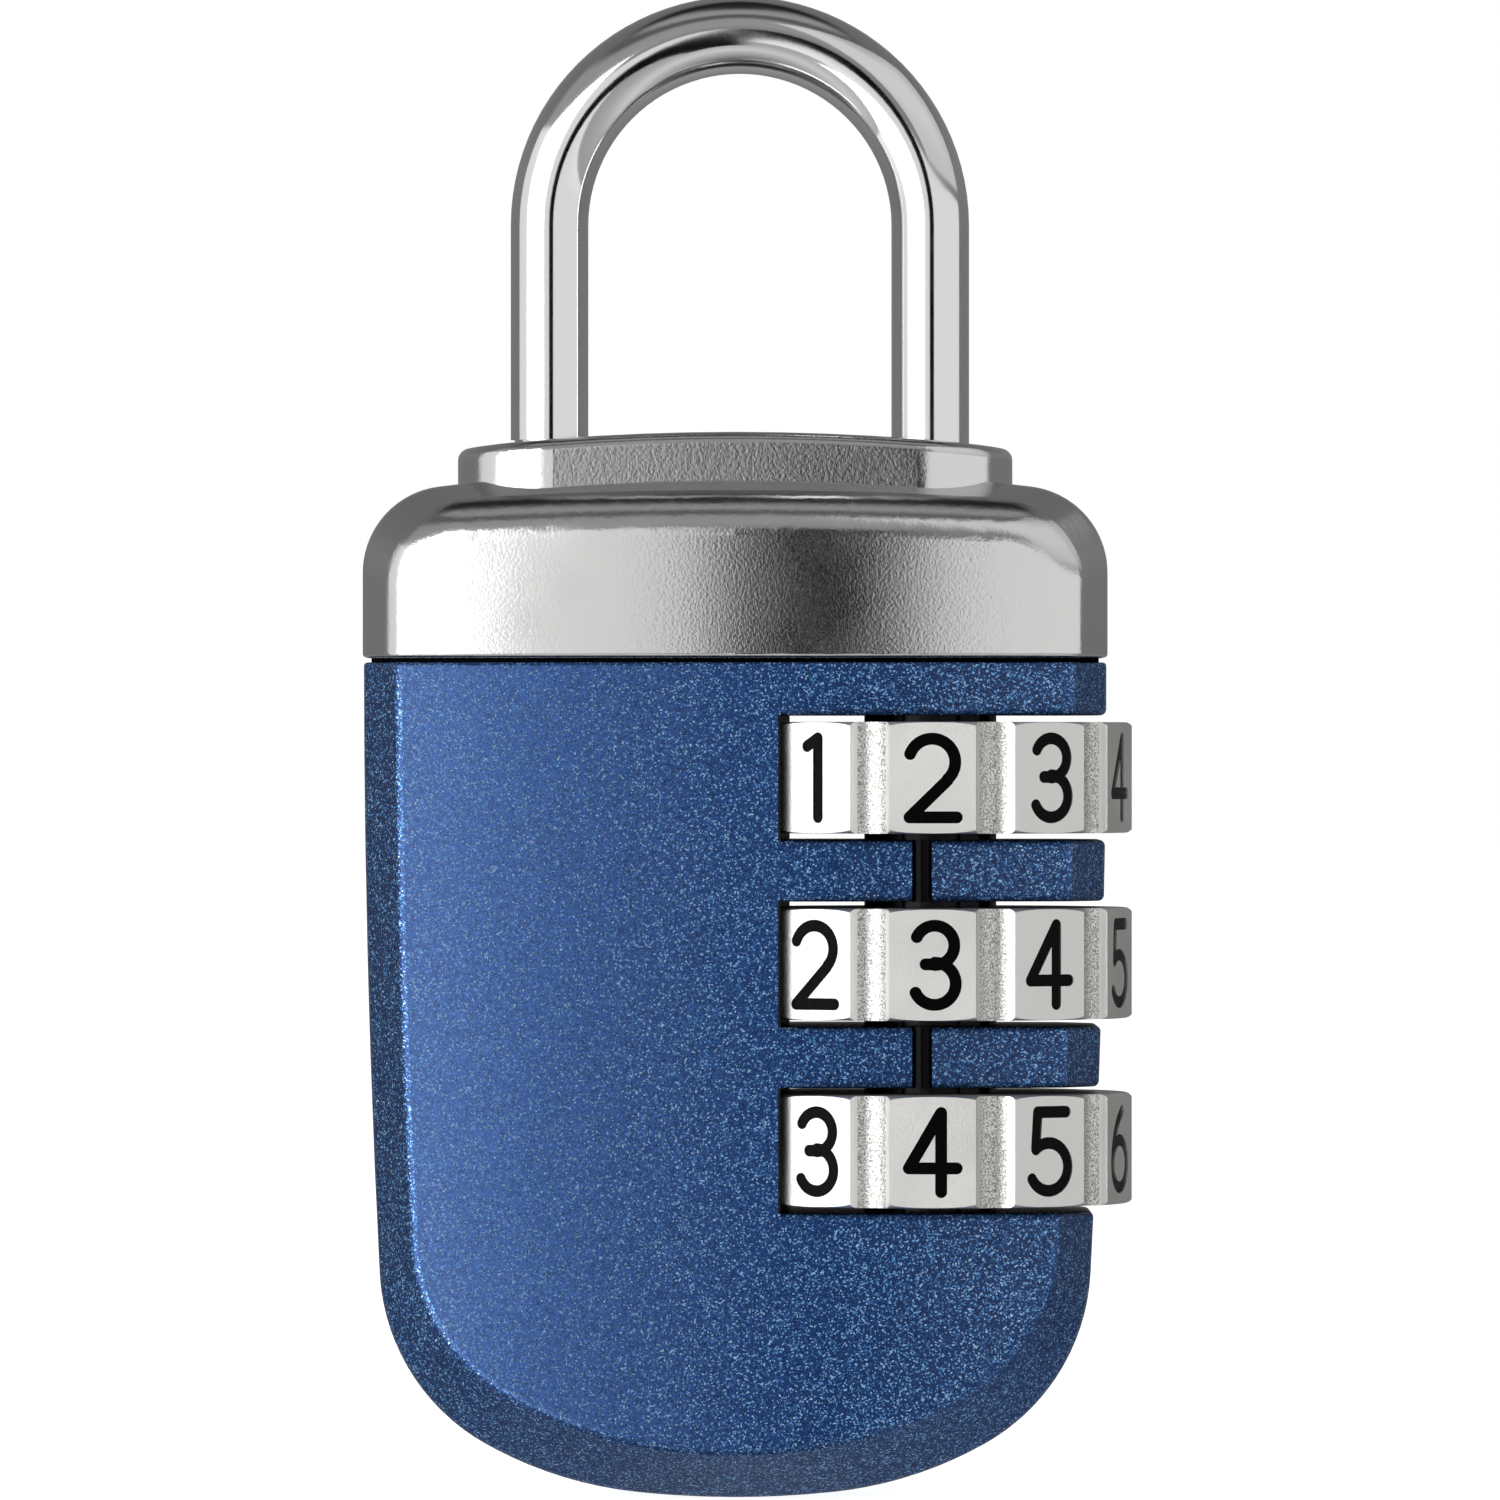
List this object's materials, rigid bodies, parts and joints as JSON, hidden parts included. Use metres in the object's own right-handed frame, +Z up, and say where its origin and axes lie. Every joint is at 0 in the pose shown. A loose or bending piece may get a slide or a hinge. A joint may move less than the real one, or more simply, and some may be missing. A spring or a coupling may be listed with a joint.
{
  "type": "combination padlock",
  "caption": "Combination padlock: U-shaped coated case, plated domed cap, bent wire shackle and fluted number dials that stand out at the side.",
  "frame": {"origin": "inside crown of the shackle bow, on the wire's centre plane: the point that the lock hangs from", "axes": "+Z up along the shackle legs, -Y out of the face with the digits, +X towards the dials and the long heel leg"},
  "size_m": [0.0311, 0.016, 0.0608],
  "materials": {
    "case_paint": "metallic blue powder coat with fine flake",
    "cap_nickel": "satin nickel plate on a zinc die casting",
    "shackle_chrome": "bright chrome plate on steel wire",
    "dial_chrome": "satin chrome plate on zinc",
    "numeral_paint": "black paint fill",
    "index_enamel": "black enamel fill",
    "pin_paint": "metallic blue powder coat over the pin's end",
    "sleeve_steel": "sintered steel, oil blackened",
    "spring_steel": "bright spring steel",
    "hardened_steel": "hardened, lightly oiled"
  },
  "bodies": {
    "case": {"case": "case_paint", "cap": "cap_nickel", "cap_pins": "pin_paint", "index_marks": "index_enamel", "stop_washer": "hardened_steel", "detent_spring_1": "spring_steel", "detent_spring_2": "spring_steel", "detent_spring_3": "spring_steel", "reset_spring": "spring_steel"},
    "shackle": {"shackle": "shackle_chrome", "shackle_clip": "hardened_steel"},
    "spring_seat": {"spring_seat": "hardened_steel"},
    "dial_1": {"dial_1": "dial_chrome", "dial_1_numerals": "numeral_paint"},
    "sleeve_1": {"sleeve_1": "sleeve_steel"},
    "dial_2": {"dial_2": "dial_chrome", "dial_2_numerals": "numeral_paint"},
    "sleeve_2": {"sleeve_2": "sleeve_steel"},
    "dial_3": {"dial_3": "dial_chrome", "dial_3_numerals": "numeral_paint"},
    "sleeve_3": {"sleeve_3": "sleeve_steel"}
  },
  "joints": [
    {"name": "shackle_lift", "type": "slide", "parent": "case", "child": "shackle", "axis": [0, 0, 1], "range_m": [0, 0.0075]},
    {"name": "dial_1_spin", "type": "hinge", "parent": "case", "child": "dial_1", "pos_m": [0.00773, 0, -0.02855], "axis": [0, 0, 1], "continuous": true, "deforming": ["detent_spring_1"]},
    {"name": "dial_2_spin", "type": "hinge", "parent": "case", "child": "dial_2", "pos_m": [0.00773, 0, -0.03605], "axis": [0, 0, 1], "continuous": true, "deforming": ["detent_spring_2"]},
    {"name": "dial_3_spin", "type": "hinge", "parent": "case", "child": "dial_3", "pos_m": [0.00773, 0, -0.04355], "axis": [0, 0, 1], "continuous": true, "deforming": ["detent_spring_3"]},
    {"name": "sleeve_1_slide", "type": "slide", "parent": "dial_1", "child": "sleeve_1", "axis": [0, 0, 1], "range_m": [-0.0009, 0], "stiffness_N_per_m": 500, "springref_m": 0.0008, "deforming": ["reset_spring"]},
    {"name": "sleeve_2_slide", "type": "slide", "parent": "dial_2", "child": "sleeve_2", "axis": [0, 0, 1], "range_m": [-0.0009, 0]},
    {"name": "sleeve_3_slide", "type": "slide", "parent": "dial_3", "child": "sleeve_3", "axis": [0, 0, 1], "range_m": [-0.0009, 0]},
    {"name": "spring_seat_slide", "type": "slide", "parent": "case", "child": "spring_seat", "axis": [0, 0, 1], "range_m": [-0.0009, 0]}
  ],
  "couplings": [
    {"joint": "sleeve_2_slide", "follows": "sleeve_1_slide", "ratio": 1},
    {"joint": "sleeve_3_slide", "follows": "sleeve_1_slide", "ratio": 1},
    {"joint": "spring_seat_slide", "follows": "sleeve_1_slide", "ratio": 1}
  ]
}
